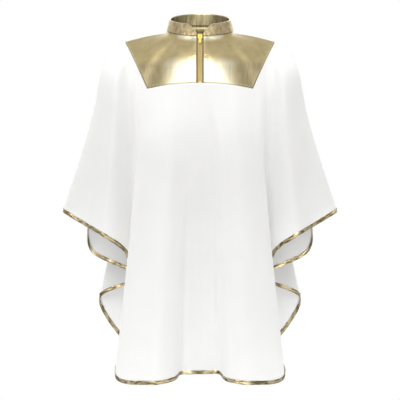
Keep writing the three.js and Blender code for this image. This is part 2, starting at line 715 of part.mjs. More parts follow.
function addCollar() {
  const grid = collarGrid();
  const gap = SEAM_GAP * half;
  addPiece(garment, 'collar_outer', sheetBody(grid, gap + COLLAR_PLY, gap), goldLame);
  addPiece(garment, 'collar_lining', sheetBody(grid, -gap, -gap - COLLAR_PLY), goldLame);
}

function addZip() {
  addPair(zip, 'zip_tape', zipTape(), tapeCloth);
  addPair(zip, 'zip_teeth', zipTeeth(), zipMetal);
  addPair(zip, 'zip_top_stop', zipTopStop(), zipMetal);
  addPiece(zip, 'zip_bottom_stop', zipBottomStop(), zipMetal);
  addPiece(zip, 'zip_slider', zipSlider(), zipMetal);
  addPiece(zip, 'zip_pull', zipPull(), zipMetal);
}

addCloth();
addYoke();
addCollar();
addZip();

export default garment;
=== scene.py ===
import math

import bpy
import numpy as np
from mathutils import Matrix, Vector


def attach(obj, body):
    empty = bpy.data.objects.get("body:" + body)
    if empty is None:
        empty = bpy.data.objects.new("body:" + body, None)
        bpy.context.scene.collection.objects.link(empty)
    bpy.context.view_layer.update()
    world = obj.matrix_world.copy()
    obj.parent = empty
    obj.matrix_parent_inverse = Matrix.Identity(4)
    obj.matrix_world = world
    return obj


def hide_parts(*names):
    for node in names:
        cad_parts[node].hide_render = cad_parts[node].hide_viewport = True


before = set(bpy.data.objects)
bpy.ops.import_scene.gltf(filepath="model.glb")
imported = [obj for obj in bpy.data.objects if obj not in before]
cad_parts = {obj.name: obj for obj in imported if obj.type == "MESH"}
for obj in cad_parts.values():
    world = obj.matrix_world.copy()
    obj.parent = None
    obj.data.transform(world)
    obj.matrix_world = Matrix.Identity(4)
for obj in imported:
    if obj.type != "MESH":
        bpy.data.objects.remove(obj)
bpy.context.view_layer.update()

MM = 0.001

# ------------------------------------------------------------------ sizes of the garment

GARMENT_LENGTH = 800 * MM
WING_REACH = 322 * MM
DRAPE_DEPTH = 150 * MM

NECK_HALF_WIDTH = 77 * MM
NECK_FRONT = 78 * MM
NECK_BACK = 65 * MM
NECK_TILT = 24 * MM

COLLAR_HEIGHT = 27 * MM
COLLAR_SIDE_LEAN = 6.5 * MM
COLLAR_FRONT_LEAN = 14 * MM
COLLAR_BACK_LEAN = 3 * MM
COLLAR_FRONT_TILT = 24 * MM
COLLAR_BACK_TILT = 25 * MM
COLLAR_FRONT_HEIGHT = 0.14
COLLAR_CORNER = math.radians(28)
COLLAR_PLY = 1.5 * MM
COLLAR_PLY_OFFSET = 0.9 * MM
COLLAR_ROWS = 14
ROLLED_EDGE_RADIUS = 1.5 * MM

SHOULDER_HALF_WIDTH = 176 * MM
SHOULDER_DROP = 26 * MM
YOKE_HALF_HEM = 119 * MM
YOKE_FRONT_DROP = 138 * MM
YOKE_HEM_CURVE = 9 * MM
CHEST_FORWARD = 128 * MM
CHEST_ROUND = 34 * MM
BACK_YOKE_HALF_HEM = 128 * MM
BACK_YOKE_DROP = 116 * MM
BACK_DEPTH = 108 * MM
BACK_ROUND = 10 * MM
YOKE_BELLY = 9 * MM
BELLY_START = 60 * MM
NECK_FLARE = 7 * MM
FLARE_SHARE = 0.12
FLARE_START = 10 * MM
FLARE_END = 40 * MM
CORNER_FADE = 0.16

ZIP_OPENING = 8.5 * MM
CLOTH_PLY = 1.2 * MM
YOKE_PLY = 1.2 * MM
BINDING_WIDTH = 8.5 * MM
BINDING_OUT = 0.7 * MM
BINDING_SIDES = 22
BINDING_SQUARENESS = 0.6
FACING_DEPTH = 1.6 * MM
FACING_PLY = 1.0 * MM
FACING_ROWS = 5
STITCH_OUT = YOKE_PLY * 0.6
FOLD_FADE = 90 * MM

# The sheets laid flat: width and length, and the area of those that are cut to a shape.
FRONT_CLOTH_FLAT = (1.14, 0.80)
FRONT_CLOTH_AREA = 0.52
BACK_CLOTH_FLAT = (1.20, 0.80)
BACK_CLOTH_AREA = 0.55
YOKE_FRONT_FLAT = (0.17, 0.17)
YOKE_BACK_FLAT = (0.36, 0.17)
FACING_FLAT = (0.27, 0.035)
COLLAR_FLAT = (0.45, 0.03)
BINDING_CUT = 24 * MM

# How finely the drape is sampled: columns for each fold, rows of yoke and of white cloth,
# and points on a curve when its length is measured.
COLUMNS_PER_FOLD = 9
YOKE_ROWS = 26
CLOTH_ROWS = 120
CURVE_POINTS = 240

# --------------------------------------------------------------------- small vector tools


def vec(x, y, z):
    return np.array([x, y, z], dtype=float)


def mirrored(points):
    return points * vec(-1, 1, 1)


def unit(vectors):
    length = np.linalg.norm(vectors, axis=-1, keepdims=True)
    return vectors / np.maximum(length, 1e-12)


def smooth_step(low, high, value):
    share = np.clip((value - low) / (high - low), 0, 1)
    return share * share * (3 - 2 * share)


def spline(points, places):
    """The centripetal curve through points[0], points[1] ..., read at places such as 1.5."""
    points = np.asarray(points, dtype=float)
    before = 2 * points[:1] - points[1:2]
    after = 2 * points[-1:] - points[-2:-1]
    knots = np.concatenate([before, points, after])
    segment = np.clip(np.floor(places).astype(int), 0, len(points) - 2)
    share = places - segment
    p = [knots[segment + k] for k in range(4)]
    spans = [np.linalg.norm(b - a, axis=-1, keepdims=True) for a, b in zip(p, p[1:])]
    gaps = [np.maximum(span**0.5, 1e-6) for span in spans]
    slopes = [(b - a) / gap for a, b, gap in zip(p, p[1:], gaps)]
    start = (slopes[0] - (p[2] - p[0]) / (gaps[0] + gaps[1]) + slopes[1]) * gaps[1]
    end = (slopes[1] - (p[3] - p[1]) / (gaps[1] + gaps[2]) + slopes[2]) * gaps[1]
    t = share.reshape(share.shape + (1,) * (points.ndim - 1))
    rise = p[2] - p[1]
    return p[1] + start * t + (3 * rise - 2 * start - end) * t**2 + (start + end - 2 * rise) * t**3


def along(points, shares):
    """Points at shares of the length of the curve through points."""
    places = np.linspace(0, len(points) - 1, CURVE_POINTS)
    dense = spline(points, places)
    run = np.concatenate([[0], np.cumsum(np.linalg.norm(np.diff(dense, axis=0), axis=1))])
    return spline(points, np.interp(np.asarray(shares) * run[-1], run, places))


# ------------------------------------------------------------------- neck and yoke lines


def oval_point(angle, half_width, front, back, height, front_tilt, back_tilt):
    middle, reach = (back - front) / 2, (back + front) / 2
    forward = np.cos(angle)
    tilt = np.where(forward > 0, front_tilt, back_tilt)
    return np.stack([half_width * np.sin(angle), middle - reach * forward, height - tilt * forward], axis=-1)


def neck_seam(angle):
    return oval_point(angle, NECK_HALF_WIDTH, NECK_FRONT, NECK_BACK, 0, NECK_TILT, NECK_TILT)


def collar_top(angle):
    half_width = NECK_HALF_WIDTH - COLLAR_SIDE_LEAN
    front = NECK_FRONT - COLLAR_FRONT_LEAN
    back = NECK_BACK - COLLAR_BACK_LEAN
    tilts = (COLLAR_FRONT_TILT, COLLAR_BACK_TILT)
    return oval_point(angle, half_width, front, back, COLLAR_HEIGHT, *tilts)


FRONT_ANGLE = math.asin(ZIP_OPENING / NECK_HALF_WIDTH)
SHOULDER = vec(SHOULDER_HALF_WIDTH, 0, -SHOULDER_DROP)
YOKE_CORNER = vec(YOKE_HALF_HEM, CHEST_ROUND - CHEST_FORWARD, -YOKE_FRONT_DROP - YOKE_HEM_CURVE)
BACK_CORNER = vec(BACK_YOKE_HALF_HEM, BACK_DEPTH - BACK_ROUND, -BACK_YOKE_DROP - YOKE_HEM_CURVE / 2)


def front_hem(share):
    x = ZIP_OPENING + (YOKE_HALF_HEM - ZIP_OPENING) * share
    return vec(x, CHEST_ROUND * share**2 - CHEST_FORWARD, -YOKE_FRONT_DROP - YOKE_HEM_CURVE * share**2)


def back_hem(share):
    y = BACK_DEPTH - BACK_ROUND * share**2
    return vec(BACK_YOKE_HALF_HEM * share, y, -BACK_YOKE_DROP - YOKE_HEM_CURVE / 2 * share**2)


def side_edge(corner, bulge, share):
    control = (corner + SHOULDER) / 2 + bulge
    return corner * (1 - share) ** 2 + control * 2 * share * (1 - share) + SHOULDER * share**2


def front_side(share):
    return side_edge(YOKE_CORNER, vec(-6, -28, -8) * MM, share)


def back_side(share):
    return side_edge(BACK_CORNER, vec(0, 43, -1) * MM, share)


# --------------------------------------------------------------------------- fold lines

# Each fold runs from the yoke to the hem: its name, its angle round the neck in degrees,
# where it leaves the yoke, and a few points of [across, back, down] in hundredths of the
# wing reach, the drape depth and the garment length.
FOLDS = [
    ("placket", 6, front_hem(0), [[3, -100, 32], [3, -88, 55], [3, -50, 99]]),
    ("pleat_floor", 9, front_hem(0.1), [[6, -100, 32], [9, -89, 55], [12.5, -53, 99]]),
    ("pleat_wall", 16, front_hem(0.25), [[11, -101, 32], [14, -98, 55], [18.5, -92, 99.5]]),
    ("front_lobe", 29, front_hem(0.6), [[24, -101, 32], [27, -102, 55], [34, -107, 100]]),
    ("front_edge", 44, YOKE_CORNER, [[40.5, -76, 32], [47, -66, 55], [60, -43, 100]]),
    ("side_strip", 52, front_side(0.34), [[44, -60, 24], [44, -46, 43], [50, -30, 91]]),
    ("valley_front", 60, front_side(0.58), [[46.5, -46, 19], [45, -36, 43], [46, -18, 82]]),
    ("valley_back", 65, front_side(0.67), [[50, -44, 18], [48.5, -36, 40], [50, -14, 73]]),
    ("sleeve_inner", 70, front_side(0.75), [[53.5, -46, 17], [53.5, -50, 34], [53.5, -30, 65]]),
    ("sleeve_crown", 76, front_side(0.83), [[58, -50, 14], [61, -62, 31], [68, -57, 60]]),
    ("sleeve_dip", 83, front_side(0.91), [[67, -24, 11], [73, -28, 25], [83, -22, 57]]),
    ("overarm", 90, SHOULDER, [[65, 0, 6], [71, 0, 11], [78, -2, 25], [99.5, -5, 53]]),
    ("tuck_front", 97, back_side(0.92), [[68, 12, 9], [71, 11, 24], [58, 1, 57.5]]),
    ("tuck_back", 101, back_side(0.86), [[69, 22, 11], [69, 23, 26], [57, 12, 57]]),
    ("cascade_front", 106, back_side(0.79), [[69, 34, 14], [73, 32, 29], [80, 14, 57]]),
    ("cascade_back", 110, back_side(0.71), [[67, 44, 16], [71, 47, 31], [81.5, 29, 64.8]]),
    ("lower_front", 114, back_side(0.6), [[60, 52, 17], [57, 50, 33], [47.5, 30, 72]]),
    ("lower_back", 119, back_side(0.48), [[56, 62, 18], [54, 62, 35], [46.5, 42, 74]]),
    ("back_edge", 125, BACK_CORNER, [[48, 75, 27], [58, 75, 44], [76.5, 62, 80]]),
    ("back_lobe", 143, back_hem(0.68), [[31, 83, 33], [37, 88, 55], [43, 93, 99.5]]),
    ("back_dip", 161, back_hem(0.34), [[15, 80, 33], [18, 79, 55], [24, 74, 100]]),
    ("centre_back", 180, back_hem(0), [[0, 83, 33], [0, 88, 55], [0, 96, 99]]),
]
FOLD_NAMES = [fold[0] for fold in FOLDS]


def column_of(name):
    return FOLD_NAMES.index(name) * COLUMNS_PER_FOLD


def yoke_line(neck, seam, shares):
    """From the neck seam to the yoke's edge: it sweeps in below the collar, then bellies out.
    Both fade out beside the zip."""
    angle = max(math.radians(neck), FRONT_ANGLE)
    top = neck_seam(angle)
    outwards = unit(vec(seam[0] + top[0], seam[1] + top[1], SHOULDER_HALF_WIDTH))
    front_or_back = abs(math.cos(angle))
    from_zip = seam[0] - ZIP_OPENING if seam[1] < 0 else math.inf
    full_belly = smooth_step(0, BELLY_START, from_zip)
    full_flare = smooth_step(FLARE_START, FLARE_END, from_zip)
    belly = YOKE_BELLY * front_or_back * full_belly * np.sin(math.pi * shares)
    swept = shares / FLARE_SHARE
    flare = NECK_FLARE * full_flare * swept * np.exp(1 - swept)
    return top + (seam - top) * shares[:, None] + outwards * (belly - flare)[:, None]


def crossed(lines, first, last, before, after):
    """Smooth curves across folds first to last, shaped too by the lines before and after."""
    steps = np.arange((last - first) * COLUMNS_PER_FOLD + 1) / COLUMNS_PER_FOLD
    return spline(np.concatenate([before, lines[first:last + 1], after]), len(before) + steps)


def across_folds(lines, corner_softness):
    """Joins matching points of every fold with smooth curves, which meet the other half at the
    centre lines. Where the softness is 0 the curves break at the corners of the yoke."""
    last = len(lines) - 1
    front, back = (FOLD_NAMES.index(name) for name in ("front_edge", "back_edge"))
    before, after, none = mirrored(lines[:1]), mirrored(lines[-2:-1]), lines[:0]
    smooth = crossed(lines, 0, last, before, after)
    crisp = np.concatenate([
        crossed(lines, 0, front, before, none)[:-1],
        crossed(lines, front, back, none, none)[:-1],
        crossed(lines, back, last, none, after),
    ])
    return (crisp + (smooth - crisp) * corner_softness[:, None]).transpose(1, 0, 2)


def drape_half():
    """The whole left half as rows of points: neck seam, yoke hem at YOKE_ROWS, then the hem."""
    scale = vec(WING_REACH, DRAPE_DEPTH, -GARMENT_LENGTH) / 100
    yoke_shares = np.arange(YOKE_ROWS) / YOKE_ROWS
    cloth_shares = np.arange(CLOTH_ROWS + 1) / CLOTH_ROWS
    yoke, cloth = [], []
    for _, neck, seam, path in FOLDS:
        yoke.append(yoke_line(neck, seam, yoke_shares))
        cloth.append(along([seam, *(np.array(path) * scale)], cloth_shares))
    yoke_softness = 1 - smooth_step(1 - 2 * CORNER_FADE, 1, yoke_shares)
    cloth_softness = smooth_step(0, CORNER_FADE, cloth_shares)
    return np.concatenate([
        across_folds(np.array(yoke), yoke_softness),
        across_folds(np.array(cloth), cloth_softness),
    ])


# Soft folds that the front panel hangs in: how wide and how deep each is, whether it is a
# hollow (-1) or a ridge (1), and where it runs, as points of across and down.
SOFT_FOLDS = [
    (15 * MM, 6.5 * MM, -1, [(16, -160), (27, -270), (34, -360), (39, -470), (43, -810)]),
    (11 * MM, 4.3 * MM, 1, [(34, -180), (45, -270), (52, -370), (57, -480), (62, -810)]),
    (13 * MM, 4.7 * MM, -1, [(-42, -290), (-45, -450), (-48, -600), (-49, -810)]),
    (12 * MM, 2.9 * MM, 1, [(-20, -290), (-24, -450), (-26, -600), (-26, -810)]),
    (12 * MM, 2.7 * MM, -1, [(58, -190), (70, -290), (78, -400), (86, -520)]),
    (11 * MM, 2.5 * MM, -1, [(-82, -150), (-84, -260), (-86, -340)]),
    (15 * MM, 3.2 * MM, -1, [(-112, -560), (-118, -650), (-122, -810)]),
    (15 * MM, 3.6 * MM, -1, [(98, -500), (112, -620), (122, -810)]),
    (18 * MM, 2.9 * MM, 1, [(-80, -420), (-86, -600), (-88, -810)]),
]


def hung(grid):
    """The front cloth with its soft folds. Each fades in, and out if it ends above the hem."""
    x, z = grid[..., 0], grid[..., 2]
    pushed = np.zeros_like(x)
    for width, depth, way, route in SOFT_FOLDS:
        across, down = np.array(route[::-1]).T * MM
        middle = np.interp(z, down, across)
        lowest, highest = down[0], down[-1]
        fade = smooth_step(-highest, FOLD_FADE - highest, -z)
        if lowest > -GARMENT_LENGTH:
            fade *= smooth_step(lowest - FOLD_FADE, lowest, z)
        pushed += way * depth * fade * np.exp(-(((x - middle) / width) ** 2))
    return grid - pushed[..., None] * vec(0, 1, 0)


def grid_normals(grid):
    down = np.gradient(grid, axis=0)
    across = np.gradient(grid, axis=1)
    return unit(np.cross(down, across))


# ------------------------------------------------------------------------ mesh building


def run_along(grid, axis):
    """How far each row or column lies along the grid, on average."""
    steps = np.linalg.norm(np.diff(grid, axis=axis), axis=2).mean(axis=1 - axis)
    return np.concatenate([[0], np.cumsum(steps)])


def grid_mesh(name, grid):
    """A mesh of quads on a grid of points, with the grid's own run in metres as its UV map."""
    rows, columns = grid.shape[:2]
    index = np.arange(rows * columns).reshape(rows, columns)
    corners = [index[:-1, :-1], index[1:, :-1], index[1:, 1:], index[:-1, 1:]]
    faces = np.stack(corners, axis=-1).reshape(-1, 4)
    mesh = bpy.data.meshes.new(name)
    mesh.from_pydata(grid.reshape(-1, 3).tolist(), [], faces.tolist())
    across, down = np.meshgrid(run_along(grid, 1), run_along(grid, 0))
    cloth_map = np.stack([across.ravel()[faces], down.ravel()[faces]], axis=-1)
    layer = mesh.uv_layers.new(name="cloth")
    layer.data.foreach_set("uv", cloth_map.astype(np.float32).ravel())
    mesh.polygons.foreach_set("use_smooth", [True] * len(mesh.polygons))
    mesh.update()
    return mesh


def add_object(name, mesh, material):
    obj = bpy.data.objects.new(name, mesh)
    bpy.context.scene.collection.objects.link(obj)
    if material:
        mesh.materials.clear()
        mesh.materials.append(material)
    return obj


def thicken(obj, thickness):
    solidify = obj.modifiers.new("ply", "SOLIDIFY")
    solidify.thickness = thickness
    solidify.offset = 0.0
    solidify.use_even_offset = False
    return obj


def bake(obj):
    """Turns the object's modifiers into plain mesh."""
    graph = bpy.context.evaluated_depsgraph_get()
    mesh = bpy.data.meshes.new_from_object(obj.evaluated_get(graph))
    mesh.name = obj.name
    obj.modifiers.clear()
    obj.data = mesh
    return obj


def finish_piece(obj, body, nodes=()):
    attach(obj, body)
    if nodes:
        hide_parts(*nodes)
    return obj


# ---------------------------------------------------------------------- material writing


class Wire:
    """A value in a material, which Python's arithmetic adds Math nodes to."""

    def __init__(self, finish, socket):
        self.finish, self.socket = finish, socket

    def maths(self, operation, *others):
        values = {k: other for k, other in enumerate((self, *others))}
        return self.finish.node("ShaderNodeMath", {"operation": operation}, values)

    def __add__(self, other):
        return self.maths("ADD", other)

    def __sub__(self, other):
        return self.maths("SUBTRACT", other)

    def __mul__(self, other):
        return self.maths("MULTIPLY", other)

    def __rsub__(self, other):
        return self.finish.node("ShaderNodeMath", {"operation": "SUBTRACT"}, {0: other, 1: self})

    __radd__ = __add__
    __rmul__ = __mul__


class Graph:
    """A node tree that values are worked out in."""

    def __init__(self, tree):
        self.tree = tree

    def node(self, kind, settings=None, inputs=None, output=0):
        made = self.tree.nodes.new(kind)
        for name, value in (settings or {}).items():
            setattr(made, name, value)
        for key, value in (inputs or {}).items():
            if isinstance(value, Wire):
                self.tree.links.new(value.socket, made.inputs[key])
            else:
                made.inputs[key].default_value = value
        return Wire(self, made.outputs[output])

    def spread(self, value, low, high, to_low=0.0, to_high=1.0):
        """The value from low to high, spread from to_low to to_high and held beyond them."""
        given = {"Value": value, "From Min": low, "From Max": high}
        return self.node("ShaderNodeMapRange", inputs={**given, "To Min": to_low, "To Max": to_high})

    def split(self, vector):
        """The three numbers of a vector."""
        parts = self.node("ShaderNodeSeparateXYZ", inputs={"Vector": vector}).socket.node
        return [Wire(self, part) for part in parts.outputs]


class Finish(Graph):
    """A material under construction, with its surface shader."""

    def __init__(self, name, **numbers):
        self.material = bpy.data.materials.new(name)
        self.material.use_nodes = True
        super().__init__(self.material.node_tree)
        self.shader = self.tree.nodes["Principled BSDF"]
        for socket, number in numbers.items():
            self.shader.inputs[socket.replace("_", " ")].default_value = number

    def set(self, **wires):
        for socket, wire in wires.items():
            self.tree.links.new(wire.socket, self.shader.inputs[socket.replace("_", " ")])
        return self.material

    def place(self, scale=(1, 1, 1)):
        """Object coordinates, stretched."""
        where = self.node("ShaderNodeTexCoord", output="Object")
        return self.node("ShaderNodeMapping", inputs={"Vector": where, "Scale": scale})

    def run(self, scale=(1, 1, 1)):
        """The piece's own cloth map in metres, stretched."""
        where = self.node("ShaderNodeUVMap", {"uv_map": "cloth"})
        return self.node("ShaderNodeMapping", inputs={"Vector": where, "Scale": scale})

    def noise(self, where, scale, detail=3.0, roughness=0.55, distortion=0.0):
        inputs = {"Vector": where, "Scale": scale, "Detail": detail}
        inputs.update({"Roughness": roughness, "Distortion": distortion})
        return self.node("ShaderNodeTexNoise", {"noise_dimensions": "3D"}, inputs)

    def wave(self, where, scale, direction="X", distortion=0.0):
        settings = {"wave_type": "BANDS", "bands_direction": direction, "wave_profile": "SIN"}
        inputs = {"Vector": where, "Scale": scale, "Distortion": distortion}
        return self.node("ShaderNodeTexWave", settings, inputs)

    def mix(self, share, first, second):
        """Two colours mixed. They are sockets 6 and 7 of the node, and the result is its third."""
        first, second = ((*c, 1) if isinstance(c, tuple) else c for c in (first, second))
        return self.node("ShaderNodeMix", {"data_type": "RGBA"}, {0: share, 6: first, 7: second}, output=2)

    def bump(self, height, distance, strength=1.0, under=None):
        inputs = {"Height": height, "Distance": distance, "Strength": strength}
        if under:
            inputs["Normal"] = under
        return self.node("ShaderNodeBump", inputs=inputs)


def white_crepe():
    """Smooth matte crepe: a fine pebbled weave, which lets some light through."""
    through = {"Subsurface_Weight": 0.5, "Subsurface_Scale": 0.03}
    nap = {"Sheen_Weight": 0.12, "Sheen_Roughness": 0.6}
    finish = Finish("white_crepe", Roughness=0.78, **through, **nap)
    finish.shader.inputs["Specular IOR Level"].default_value = 0.25
    finish.shader.inputs["Subsurface Radius"].default_value = (1.0, 1.0, 1.0)
    where = finish.place()
    pebble = finish.noise(where, 1500.0, 2.0)
    weave = finish.wave(where, 900.0, "Z", 2.0)
    cloud = finish.noise(where, 9.0, 3.0)
    colour = finish.mix(finish.spread(cloud, 0.35, 0.65), (0.905, 0.905, 0.893), (0.93, 0.928, 0.918))
    grain = finish.bump(pebble * 0.7 + weave * 0.3, 0.00012, 0.5)
    return finish.set(Base_Color=colour, Normal=grain)


def yoke_areas(finish, x, y, z, patch):
    """Masks of the yoke: its front, the painted highlight down the lower middle of the chest and in a strip
    under the collar, and the painted shade towards its lower sides.
    """
    sideways = x.maths("ABSOLUTE") + (patch - 0.5) * 0.03
    in_front = finish.spread(y, -0.03, -0.05)
    low = finish.spread(z + (patch - 0.5) * 0.012, -0.074, -0.092) * in_front
    below_neck = finish.spread(z - x * x * 4.0, -0.041, -0.034)
    # A strip under the collar, painted pale as a highlight.
    highlight_under_collar = below_neck * finish.spread(sideways, 0.055, 0.045) * in_front
    # The painted highlight: the lower middle of the chest and the strip under the collar.
    middle = (finish.spread(sideways, 0.088, 0.058) * low).maths("MAXIMUM", highlight_under_collar)
    # The last mask is the painted shade towards the lower sides.
    return in_front, middle, finish.spread(sideways, 0.07, 0.1) * low


def yoke_bumps(finish, x, z, in_front):
    """The yoke's round shape beside the zip, and small puckers where the zip is sewn in."""
    sideways = x.maths("ABSOLUTE")
    run_down = finish.spread(z, -0.03, -YOKE_FRONT_DROP, 0.0, math.pi)
    beside_zip = finish.spread(sideways, ZIP_OPENING, ZIP_OPENING + BELLY_START, 1.0, 0.0)
    belly = run_down.maths("SINE") * beside_zip * in_front * YOKE_BELLY
    near_zip = finish.spread(sideways, 0.009, 0.02, 1.0, 0.0) * in_front
    mid_zip = finish.spread(z, -0.06, -0.068) * finish.spread(z, -0.125, -0.1)
    pucker = finish.noise(finish.place((30, 1, 420)), 1.0, 1.0) * near_zip * mid_zip
    return finish.bump(pucker, 0.0016, 1.0, finish.bump(belly, 1.0))


def gold_lame():
    """Soft metallic lame: fine pebbled grain over gentle dents. It is khaki on the upper slope; down the
    lower middle of the chest and under the collar it is paler, a painted highlight, and towards the lower
    sides brownish with upright streaks, painted shade."""
    finish = Finish("gold_lame", Metallic=0.9)
    where = finish.place()
    x, y, z = finish.split(where)
    grain = finish.noise(where, 900.0, 2.0, 0.6)
    patch = finish.noise(where, 40.0, 4.0, 0.6)
    dents = finish.noise(where, 28.0, 2.0)
    streak = finish.noise(finish.place((420, 60, 30)), 1.0, 3.0, 0.6)
    in_front, middle, painted_shade_sides = yoke_areas(finish, x, y, z, patch)
    khaki = finish.mix(finish.spread(patch, 0.3, 0.7), (0.5, 0.405, 0.2), (0.63, 0.52, 0.28))
    # Painted shade for the lower sides: brownish, with upright streaks.
    brown = finish.mix(finish.spread(streak, 0.3, 0.7), (0.3, 0.235, 0.13), (0.52, 0.44, 0.27))
    # Painted highlight for the lower middle of the chest and under the collar: pale cream.
    pale = finish.mix(finish.spread(streak, 0.2, 0.8), (0.78, 0.7, 0.48), (0.88, 0.82, 0.64))
    colour = finish.mix(middle, finish.mix(painted_shade_sides * 0.8, khaki, brown), pale)
    roughness = finish.spread(grain, 0.3, 0.7, 0.3, 0.42)
    shape = yoke_bumps(finish, x, z, in_front)
    bumps = finish.bump(grain, 0.0002, 0.5, finish.bump(dents, 0.004, 0.2, shape))
    return finish.set(Base_Color=colour, Roughness=roughness, Normal=bumps)


def collar_lame():
    """The same lame on the stand collar: browner, with soft upright creases, painted darker in their hollows
    as painted shade and lighter on their ridges as painted highlight, and varied in random patches.
    """
    finish = Finish("collar_lame", Metallic=0.9)
    where = finish.place()
    grain = finish.noise(where, 900.0, 2.0, 0.6)
    crease = finish.noise(finish.place((160, 160, 22)), 1.0, 3.0, 0.6)
    patch = finish.noise(where, 60.0, 4.0, 0.6)
    # Colour follows the creases: painted shade in their hollows and painted highlight on their ridges, mixed
    # with random patches of tone.
    crease_shade_and_patches = finish.spread(crease * 0.6 + patch * 0.4, 0.36, 0.64)
    colour = finish.mix(crease_shade_and_patches, (0.31, 0.23, 0.105), (0.66, 0.545, 0.33))
    roughness = finish.spread(grain, 0.3, 0.7, 0.28, 0.42)
    bumps = finish.bump(grain, 0.0002, 0.5, finish.bump(crease, 0.003, 0.5))
    return finish.set(Base_Color=colour, Roughness=roughness, Normal=bumps)


def shaded_lining_lame():
    """The inside of the collar and neck: the lame painted dark as painted shade inside the neck, with upright
    creases painted darker in their hollows.
    """
    finish = Finish("shaded_lining_lame", Metallic=0.75)
    where = finish.place()
    grain = finish.noise(where, 900.0, 2.0, 0.6)
    crease = finish.noise(finish.place((140, 60, 20)), 1.0, 3.0, 0.6)
    # Dark colours for the painted shade inside the neck, darker still in the crease hollows.
    colour = finish.mix(finish.spread(crease, 0.36, 0.64), (0.16, 0.13, 0.06), (0.33, 0.28, 0.16))
    roughness = finish.spread(grain, 0.3, 0.7, 0.3, 0.45)
    bumps = finish.bump(grain, 0.0002, 0.5, finish.bump(crease, 0.002, 0.5))
    return finish.set(Base_Color=colour, Roughness=roughness, Normal=bumps)


def woven_tape():
    finish = Finish("woven_tape", Roughness=0.75)
    thread = finish.wave(finish.place(), 700.0, "Z", 1.0)
    return finish.set(Base_Color=finish.mix(thread, (0.144, 0.104, 0.04), (0.245, 0.187, 0.079)))


def rose_brass():
    finish = Finish("rose_brass", Metallic=0.85, Roughness=0.32)
    tint = finish.noise(finish.place(), 160.0, 2.0)
    return finish.set(Base_Color=finish.mix(tint, (0.302, 0.209, 0.072), (0.432, 0.317, 0.13)))


def yellow_gold():
    finish = Finish("yellow_gold", Metallic=1.0, Roughness=0.2)
    tint = finish.noise(finish.place(), 90.0, 2.0)
    return finish.set(Base_Color=finish.mix(tint, (0.86, 0.66, 0.1), (0.98, 0.82, 0.22)))


def foil_binding():
    """Crinkled metallic foil: long creases and facets that run along the strip, with painted shade in the
    creases and painted glints on the facets.
    """
    finish = Finish("foil_binding", Metallic=0.95)
    where = finish.run((0.26, 1.5, 1))
    crease = finish.noise(where, 210.0, 2.5, 0.55, 0.5)
    stretch = finish.noise(finish.run((1, 0.2, 1)), 22.0, 2.0)
    # Painted glints and painted shade: bright where the crinkle bump is high, dark in its creases.
    painted_glints_and_shade = finish.spread(crease + (stretch - 0.5) * 0.5, 0.4, 0.62)
    colour = finish.mix(painted_glints_and_shade, (0.15, 0.11, 0.045), (0.8, 0.68, 0.42))
    roughness = finish.spread(crease, 0.3, 0.7, 0.38, 0.2)
    bumps = finish.bump(crease, 0.003)
    return finish.set(Base_Color=colour, Roughness=roughness, Normal=bumps)


# ------------------------------------------------------------- stitches and cords on a path


def path_mesh(name, routes):
    """Open polylines, one for each route of points."""
    points = np.concatenate(routes)
    starts = np.cumsum([0] + [len(route) for route in routes])
    edges = [(k, k + 1) for a, b in zip(starts, starts[1:]) for k in range(a, b - 1)]
    mesh = bpy.data.meshes.new(name)
    mesh.from_pydata(points.tolist(), edges, [])
    return mesh


def new_tree(name, numbers):
    """A geometry tree with named sizes, and its sockets' identifiers by name."""
    tree = bpy.data.node_groups.new(name, "GeometryNodeTree")
    face = tree.interface
    face.new_socket("Path", in_out="INPUT", socket_type="NodeSocketGeometry")
    named = {n: face.new_socket(n, in_out="INPUT", socket_type="NodeSocketFloat").identifier for n in numbers}
    named["Finish"] = face.new_socket("Finish", in_out="INPUT", socket_type="NodeSocketMaterial").identifier
    face.new_socket("Mesh", in_out="OUTPUT", socket_type="NodeSocketGeometry")
    graph = Graph(tree)
    source = tree.nodes.new("NodeGroupInput")
    sink = tree.nodes.new("NodeGroupOutput")
    sockets = {socket.name: Wire(graph, socket) for socket in source.outputs if socket.name}
    return tree, graph, named, sockets, sink


def close_tree(graph, sink, shape, finish):
    real = graph.node("GeometryNodeRealizeInstances", inputs={"Geometry": shape})
    painted = graph.node("GeometryNodeSetMaterial", inputs={"Geometry": real, "Material": finish})
    graph.tree.links.new(painted.socket, sink.inputs[0])


def stitch_tree(name):
    """Copies of one small oval at an even pitch along the path, turned to follow it."""
    tree, graph, named, given, sink = new_tree(name, ("Pitch", "Long", "Wide", "Thick"))
    curve = graph.node("GeometryNodeMeshToCurve", inputs={"Mesh": given["Path"]})
    spacing = {"Curve": curve, "Length": given["Pitch"]}
    points = graph.node("GeometryNodeResampleCurve", {"mode": "LENGTH"}, spacing)
    sides = {0: given["Long"], 1: given["Wide"], 2: given["Thick"]}
    size = graph.node("ShaderNodeCombineXYZ", inputs=sides)
    sphere = {"Segments": 8, "Rings": 5, "Radius": 0.5}
    shape = graph.node("GeometryNodeMeshUVSphere", inputs=sphere)
    shape = graph.node("GeometryNodeTransform", inputs={"Geometry": shape, "Scale": size})
    heading = graph.node("GeometryNodeInputTangent")
    turn = graph.node("FunctionNodeAlignRotationToVector", {"axis": "X"}, {"Vector": heading})
    copies = {"Points": points, "Instance": shape, "Rotation": turn}
    placed = graph.node("GeometryNodeInstanceOnPoints", inputs=copies)
    close_tree(graph, sink, placed, given["Finish"])
    return tree, named


